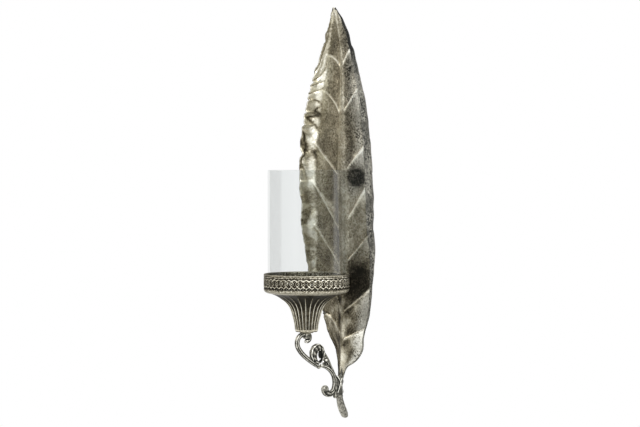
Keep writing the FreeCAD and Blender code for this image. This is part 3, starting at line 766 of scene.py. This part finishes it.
def scroll_arm():
    points, faces = [], []
    for more_points, more_faces in arm_parts():
        offset = sum(len(p) for p in points)
        points.append(more_points)
        faces += [[offset + index for index in face] for face in more_faces]
    arm = add_object("arm_cast", np.concatenate(points), faces)
    fuse(arm)
    mark_relief(arm, 14, 0.3)
    skin = arm.data
    points = np.array([vertex.co for vertex in skin.vertices]) / MM
    across = (points[:, 1] - EYE_CENTRE[0]) / EYE_RADII[0]
    up = (points[:, 2] - EYE_CENTRE[1]) / EYE_RADII[1]
    under = smooth_step(0.2, -0.8, np.array([vertex.normal.z for vertex in skin.vertices]))
    write_values(skin, "shade", np.maximum(smooth_step(1.35, 1.1, np.hypot(across, up)), 0.45 * under))
    return arm


# --- materials ---------------------------------------------------------------------------------------
METALLIC = 0.92


class Tree:
    """Short ways to add and join the nodes of one material."""

    def __init__(self, name):
        self.material = bpy.data.materials.new(name)
        self.material.use_nodes = True
        self.nodes = self.material.node_tree.nodes
        self.links = self.material.node_tree.links
        self.shader = self.nodes["Principled BSDF"]
        self.place = self.nodes.new("ShaderNodeTexCoord").outputs["Object"]

    def put(self, socket, value):
        if isinstance(value, bpy.types.NodeSocket):
            self.links.new(value, socket)
        else:
            socket.default_value = value

    def maths(self, operation, a, b=0.0, clamp=False):
        made = self.nodes.new("ShaderNodeMath")
        made.operation = operation
        made.use_clamp = clamp
        self.put(made.inputs[0], a)
        self.put(made.inputs[1], b)
        return made.outputs[0]

    def noise(self, size_mm, detail=3.0, roughness=0.6):
        made = self.nodes.new("ShaderNodeTexNoise")
        self.links.new(self.place, made.inputs["Vector"])
        made.inputs["Scale"].default_value = 1.0 / (size_mm * MM)
        made.inputs["Detail"].default_value = detail
        made.inputs["Roughness"].default_value = roughness
        return made.outputs["Fac"]

    def value_at(self, name):
        made = self.nodes.new("ShaderNodeAttribute")
        made.attribute_name = name
        return made.outputs["Fac"]

    def ramp(self, factor, stops):
        made = self.nodes.new("ShaderNodeValToRGB")
        self.links.new(factor, made.inputs["Fac"])
        elements = made.color_ramp.elements
        while len(elements) < len(stops):
            elements.new(0.5)
        for element, (position, colour) in zip(elements, stops):
            element.position = position
            element.color = (*colour, 1.0)
        return made.outputs["Color"]

    def mix(self, factor, a, b):
        made = self.nodes.new("ShaderNodeMix")
        made.data_type = "RGBA"
        self.put(made.inputs[0], factor)
        self.put(made.inputs[6], a)
        self.put(made.inputs[7], b)
        return made.outputs[2]

    def range(self, value, low, high, new_low, new_high):
        made = self.nodes.new("ShaderNodeMapRange")
        for socket, item in zip(made.inputs, (value, low, high, new_low, new_high)):
            self.put(socket, item)
        return made.outputs[0]

    def bump(self, height, depth_mm, strength=1.0):
        made = self.nodes.new("ShaderNodeBump")
        made.inputs["Strength"].default_value = strength
        made.inputs["Distance"].default_value = depth_mm * MM
        self.links.new(height, made.inputs["Height"])
        self.links.new(made.outputs["Normal"], self.shader.inputs["Normal"])


SILVER_STOPS = (
    (0.0, (0.018, 0.016, 0.011)),
    (0.28, (0.105, 0.092, 0.064)),
    (0.5, (0.31, 0.28, 0.205)),
    (0.75, (0.66, 0.63, 0.52)),
    (1.0, (0.97, 0.96, 0.87)),
)
COOL_STOPS = (
    (0.0, (0.013, 0.014, 0.013)),
    (0.28, (0.085, 0.084, 0.074)),
    (0.5, (0.28, 0.275, 0.24)),
    (0.75, (0.60, 0.595, 0.535)),
    (1.0, (0.93, 0.93, 0.87)),
)


def leaf_material():
    """Darkened silver: warm and mottled on the left, grey with black specks on the right and behind."""
    t = Tree("antique_silver_leaf")
    broad = t.noise(26.0, 3.0, 0.6)
    mottle = t.noise(7.0, 6.0, 0.72)
    speckle = t.noise(1.1, 3.0, 0.7)
    streak = t.noise(2.6, 4.0, 0.75)
    cool = t.value_at("cool")
    tone = t.range(cool, 0.0, 1.0, 0.52, 0.635)
    tone = t.maths("ADD", tone, t.range(broad, 0.35, 0.65, -0.10, 0.10))
    tone = t.maths("ADD", tone, t.range(mottle, 0.3, 0.7, -0.12, 0.12))
    tone = t.maths("ADD", tone, t.range(speckle, 0.3, 0.7, -0.13, 0.13))
    tone = t.maths("ADD", tone, t.range(streak, 0.35, 0.68, -0.12, 0.12))
    # lighter where worn and where highlights are painted
    tone = t.maths("ADD", tone, t.maths("MULTIPLY", t.value_at("wear_and_highlight"), 0.46))
    behind = t.range(t.value_at("face"), 0.0, 1.0, 1.0, 0.0)
    tone = t.maths("SUBTRACT", tone, t.maths("MULTIPLY", t.value_at("shade"), 0.10))
    tone = t.maths("SUBTRACT", tone, t.maths("MULTIPLY", behind, 0.22))
    patches = t.range(t.noise(13.0, 2.0, 0.5), 0.44, 0.60, 0.15, 1.0)
    specks = t.maths("MULTIPLY", t.range(t.noise(2.2, 2.0, 0.6), 0.51, 0.58, 0.0, 1.0), patches)
    specks = t.maths("MULTIPLY", specks, t.range(cool, 0.0, 1.0, 0.18, 0.55))
    tone = t.maths("SUBTRACT", tone, specks)
    broken = t.range(t.noise(3.2, 5.0, 0.8), 0.40, 0.58, 0.5, 1.0)
    # darker where the finish is blackened and where shade and dark reflections are painted
    darkening = t.maths("MULTIPLY", t.value_at("soot_shade_reflection"), broken)
    tone = t.maths("SUBTRACT", tone, t.maths("MULTIPLY", darkening, 0.6), clamp=True)
    colour = t.mix(cool, t.ramp(tone, SILVER_STOPS), t.ramp(tone, COOL_STOPS))
    t.put(t.shader.inputs["Base Color"], colour)
    t.shader.inputs["Metallic"].default_value = METALLIC
    t.put(t.shader.inputs["Roughness"], t.range(tone, 0.1, 1.0, 0.52, 0.28))
    t.bump(t.maths("ADD", speckle, streak), 0.35, 0.5)
    return t.material


def relief_metal(name, middle, gain, grain_mm, unrest, stops=SILVER_STOPS):
    """Cast or pierced metal: dark in its hollows and worn bright on its ridges, and darker where shade is
    painted through the shade value.
    """
    t = Tree(name)
    mottle = t.noise(grain_mm, 5.0, 0.7)
    speckle = t.noise(0.8, 3.0, 0.7)
    tone = t.range(t.value_at("relief"), 0.15, 0.85, middle - gain / 2, middle + gain / 2)
    tone = t.maths("ADD", tone, t.range(mottle, 0.3, 0.7, -unrest, unrest))
    tone = t.maths("SUBTRACT", tone, t.maths("MULTIPLY", t.value_at("shade"), 0.5))
    tone = t.maths("ADD", tone, t.range(speckle, 0.3, 0.7, -0.1, 0.1), clamp=True)
    t.put(t.shader.inputs["Base Color"], t.ramp(tone, stops))
    t.shader.inputs["Metallic"].default_value = METALLIC
    t.put(t.shader.inputs["Roughness"], t.range(tone, 0.0, 1.0, 0.5, 0.3))
    t.bump(t.maths("ADD", speckle, mottle), 0.2, 0.4)
    return t.material


def plain_metal(name, low, high, size_mm):
    """Worn metal of one even tone with mottling and a fine grain."""
    t = Tree(name)
    mottle = t.noise(size_mm, 6.0, 0.7)
    speckle = t.noise(0.7, 3.0, 0.7)
    tone = t.range(mottle, 0.3, 0.7, 0.2, 0.8)
    tone = t.maths("ADD", tone, t.range(speckle, 0.3, 0.7, -0.2, 0.2), clamp=True)
    t.put(t.shader.inputs["Base Color"], t.ramp(tone, ((0.0, low), (1.0, high))))
    t.shader.inputs["Metallic"].default_value = METALLIC
    t.put(t.shader.inputs["Roughness"], t.range(tone, 0.0, 1.0, 0.42, 0.28))
    t.bump(speckle, 0.12, 0.35)
    return t.material


def stem_material():
    """Cast metal, dark where the arm meets the stem and paler below its collar; painted shade darkens its +X
    side.
    """
    t = Tree("antique_silver_stem")
    height = t.nodes.new("ShaderNodeSeparateXYZ")
    t.links.new(t.place, height.inputs[0])
    ragged = t.maths("ADD", height.outputs["Z"], t.range(t.noise(2.0), 0.3, 0.7, -0.0012, 0.0012))
    pale = t.range(ragged, -0.3765, -0.3742, 1.0, 0.0)
    tone = t.range(pale, 0.0, 1.0, 0.22, 0.36)
    # painted shade: darker towards the stem's +X side
    tone = t.maths("SUBTRACT", tone, t.range(height.outputs["X"], 0.0005, 0.0045, 0.0, 0.16))
    tone = t.maths("ADD", tone, t.range(t.value_at("relief"), 0.2, 0.8, -0.22, 0.22))
    tone = t.maths("ADD", tone, t.range(t.noise(2.4, 5.0, 0.7), 0.3, 0.7, -0.24, 0.24))
    speckle = t.noise(0.7, 3.0, 0.7)
    tone = t.maths("ADD", tone, t.range(speckle, 0.3, 0.7, -0.1, 0.1), clamp=True)
    t.put(t.shader.inputs["Base Color"], t.ramp(tone, COOL_STOPS))
    t.shader.inputs["Metallic"].default_value = METALLIC
    t.put(t.shader.inputs["Roughness"], t.range(tone, 0.0, 1.0, 0.5, 0.32))
    t.bump(speckle, 0.2, 0.4)
    return t.material


def glass_material():
    t = Tree("clear_glass")
    nodes, links = t.nodes, t.links
    nodes.remove(t.shader)
    through = nodes.new("ShaderNodeBsdfTransparent")
    through.inputs["Color"].default_value = (0.950, 0.956, 0.955, 1.0)
    gloss = nodes.new("ShaderNodeBsdfGlossy")
    gloss.inputs["Color"].default_value = (1.0, 1.0, 1.0, 1.0)
    gloss.inputs["Roughness"].default_value = 0.03
    fresnel = nodes.new("ShaderNodeFresnel")
    fresnel.inputs["IOR"].default_value = 1.45
    blend = nodes.new("ShaderNodeMixShader")
    links.new(t.maths("MULTIPLY", fresnel.outputs["Fac"], 0.10), blend.inputs[0])
    links.new(through.outputs[0], blend.inputs[1])
    links.new(gloss.outputs[0], blend.inputs[2])
    links.new(blend.outputs[0], nodes["Material Output"].inputs["Surface"])
    return t.material


def dress(piece, material):
    piece.data.materials.clear()
    piece.data.materials.append(material)


def dress_node(node, material):
    for slot in node.material_slots:
        slot.material = material


# --- stage -------------------------------------------------------------------------------------------
def place_camera():
    right = Vector((math.cos(VIEW_TURN), math.sin(VIEW_TURN), 0))
    level = Vector((-math.sin(VIEW_TURN), math.cos(VIEW_TURN), 0))
    look = level * math.cos(VIEW_PITCH) - Vector((0, 0, math.sin(VIEW_PITCH)))
    camera = bpy.data.objects.new("camera", bpy.data.cameras.new("camera"))
    camera.location = Vector(VIEW_TARGET) + right * VIEW_SIDE - level * VIEW_DISTANCE
    camera.rotation_euler = look.to_track_quat("-Z", "Y").to_euler()
    camera.data.lens = LENS
    camera.data.sensor_width = 36.0
    camera.data.clip_start = 0.05
    bpy.context.scene.collection.objects.link(camera)
    bpy.context.scene.camera = camera


def area_light(name, place, size, power, colour=(1, 1, 1)):
    light = bpy.data.lights.new(name, "AREA")
    light.shape = "RECTANGLE"
    light.size, light.size_y = size
    light.energy = power
    light.color = colour
    lamp = bpy.data.objects.new(name, light)
    lamp.location = place
    lamp.rotation_euler = (Vector((0, -0.04, -0.15)) - Vector(place)).to_track_quat("-Z", "Y").to_euler()
    lamp.visible_camera = False
    bpy.context.scene.collection.objects.link(lamp)


def studio():
    """White for the camera; for light and reflections a pale room, darker towards the front left."""
    world = bpy.data.worlds.new("studio")
    bpy.context.scene.world = world
    world.use_nodes = True
    nodes, links = world.node_tree.nodes, world.node_tree.links
    nodes.clear()
    place = nodes.new("ShaderNodeTexCoord")
    toward = nodes.new("ShaderNodeVectorMath")
    toward.operation = "DOT_PRODUCT"
    links.new(place.outputs["Generated"], toward.inputs[0])
    toward.inputs[1].default_value = Vector((0.75, 0.35, 0.55)).normalized()
    ramp = nodes.new("ShaderNodeValToRGB")
    shift = nodes.new("ShaderNodeMapRange")
    links.new(toward.outputs["Value"], shift.inputs[0])
    shift.inputs[1].default_value = -1.0
    links.new(shift.outputs[0], ramp.inputs["Fac"])
    stops = ((0.0, 0.30), (0.35, 0.44), (0.6, 0.92), (1.0, 1.25))
    elements = ramp.color_ramp.elements
    while len(elements) < len(stops):
        elements.new(0.5)
    for element, (position, grey) in zip(elements, stops):
        element.position = position
        element.color = (grey, grey * 0.985, grey * 0.955, 1)
    soft = nodes.new("ShaderNodeBackground")
    links.new(ramp.outputs["Color"], soft.inputs["Color"])
    white = nodes.new("ShaderNodeBackground")
    white.inputs["Color"].default_value = (1, 1, 1, 1)
    seen = nodes.new("ShaderNodeLightPath")
    pick = nodes.new("ShaderNodeMixShader")
    links.new(seen.outputs["Is Camera Ray"], pick.inputs[0])
    links.new(soft.outputs[0], pick.inputs[1])
    links.new(white.outputs[0], pick.inputs[2])
    out = nodes.new("ShaderNodeOutputWorld")
    links.new(pick.outputs[0], out.inputs["Surface"])
    bpy.context.scene.view_settings.view_transform = "Standard"


def floor():
    angles = TURN * np.arange(FLOOR_SIDES) / FLOOR_SIDES
    points = np.column_stack([FLOOR_R * np.cos(angles), FLOOR_R * np.sin(angles), 0 * angles + FLOOR_Z / MM])
    piece = make_mesh("studio_floor", points, [list(range(FLOOR_SIDES))])
    t = Tree("studio_floor_white")
    t.shader.inputs["Base Color"].default_value = (0.86, 0.86, 0.85, 1)
    t.shader.inputs["Roughness"].default_value = 0.9
    dress(piece, t.material)


# --- assembly ----------------------------------------------------------------------------------------
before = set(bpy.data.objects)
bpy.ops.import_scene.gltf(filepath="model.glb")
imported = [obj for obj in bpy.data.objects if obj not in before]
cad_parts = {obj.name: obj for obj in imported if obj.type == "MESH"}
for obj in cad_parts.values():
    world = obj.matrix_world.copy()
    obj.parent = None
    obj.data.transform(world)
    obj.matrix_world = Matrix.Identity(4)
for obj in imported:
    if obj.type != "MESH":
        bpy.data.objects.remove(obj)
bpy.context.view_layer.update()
place_camera()
studio()
floor()
area_light("key", (1.6, -0.4, 1.3), (1.4, 1.0), 26)
area_light("rim", (-1.3, -0.9, 0.9), (0.5, 1.4), 10, (1.0, 0.93, 0.82))
area_light("front", (0.4, -2.0, 0.3), (0.6, 1.4), 6)

silver_leaf = leaf_material()
cast_silver = relief_metal("antique_silver_cast", 0.22, 1.9, 3.0, 0.28, COOL_STOPS)
bell_silver = relief_metal("antique_silver_bell", 0.27, 1.6, 4.0, 0.22)
gallery_silver = relief_metal("antique_silver_gallery", 0.34, 0.95, 2.2, 0.55)
ring_silver = plain_metal("antique_silver_rings", (0.035, 0.031, 0.022), (0.54, 0.51, 0.41), 2.4)
pan_silver = plain_metal("antique_silver_pan", (0.16, 0.14, 0.11), (0.5, 0.47, 0.40), 8.0)
zinc = plain_metal("zinc_fastener", (0.35, 0.35, 0.36), (0.7, 0.7, 0.69), 2.0)
hanger_steel = plain_metal("hanger_steel_plate", (0.22, 0.22, 0.22), (0.48, 0.48, 0.47), 6.0)

PIECES = (
    (leaf_blade(), "frame", "leaf_metal", silver_leaf, ("leaf_blade",)),
    (scroll_arm(), "frame", "cast_metal", cast_silver, ("scroll_arm",)),
    (leaf_stem(), "frame", "cast_metal", stem_material(), ("leaf_stem",)),
    (gallery_band(), "frame", "cup_metal", gallery_silver, ("gallery_band",)),
    (gallery_foot(), "frame", "cup_metal", ring_silver, ("gallery_base_ring",)),
    (gallery_lip(), "frame", "cup_metal", ring_silver, ("gallery_top_bead",)),
    (cup_bell(), "frame", "cup_metal", bell_silver, ("cup_bell",)),
    (glass(), "glass", "glass", glass_material(), ("glass_cylinder",)),
)
for piece, body, slot, material, nodes in PIECES:
    dress(piece, material)
    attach(piece, body)
    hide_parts(*nodes)

NODE_MATERIALS = {
    "cup_collar": ring_silver,
    "candle_pan": pan_silver,
    "hanger_plate": hanger_steel,
    "arm_screws": zinc,
    "cup_stud": zinc,
    "stud_washer": zinc,
    "stud_nut": zinc,
}
for name, material in NODE_MATERIALS.items():
    dress_node(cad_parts[name], material)
